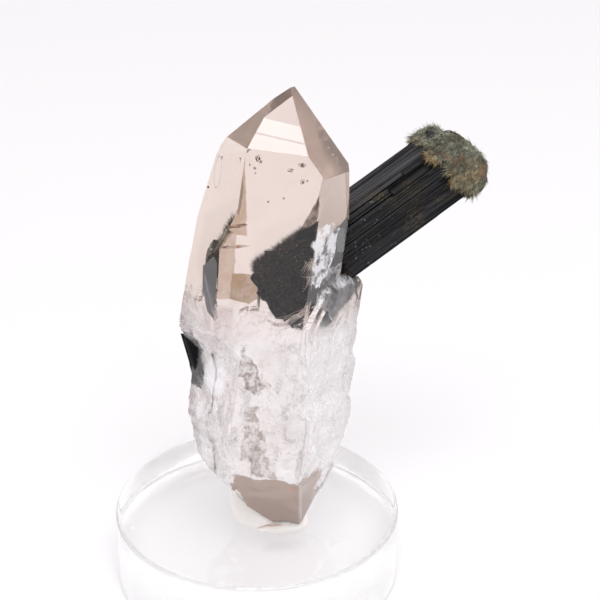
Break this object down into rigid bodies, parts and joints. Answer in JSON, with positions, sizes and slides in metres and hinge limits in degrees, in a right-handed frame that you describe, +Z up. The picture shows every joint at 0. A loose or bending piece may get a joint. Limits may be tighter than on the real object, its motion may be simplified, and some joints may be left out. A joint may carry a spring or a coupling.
{
  "type": "quartz crystal with aegirine on a base",
  "caption": "Pale smoky quartz point, clear above and frosted below, pierced by a black striated aegirine prism, held by putty on a clear acrylic disc.",
  "frame": {"origin": "centre of the acrylic base's underside", "axes": "+Z up; -Y towards the front of the specimen, where the quartz's widest window faces; +X to the right, where the aegirine sticks out"},
  "size_m": [0.0492, 0.038, 0.0698],
  "materials": {
    "quartz": "pale smoky transparent quartz, polished-looking faces above, frosted and etched below",
    "aegirine": "greenish black, silky gloss, striated along the prism",
    "fibres": "matted grey-green and tan mineral fibres, dull",
    "putty": "off-white mounting putty, soft satin",
    "acrylic": "clear cast acrylic, polished"
  },
  "bodies": {
    "root": {"quartz": "quartz", "aegirine": "aegirine", "aegirine_side_crystal": "aegirine", "fibrous_cap": "fibres", "putty": "putty", "base": "acrylic"}
  },
  "joints": []
}
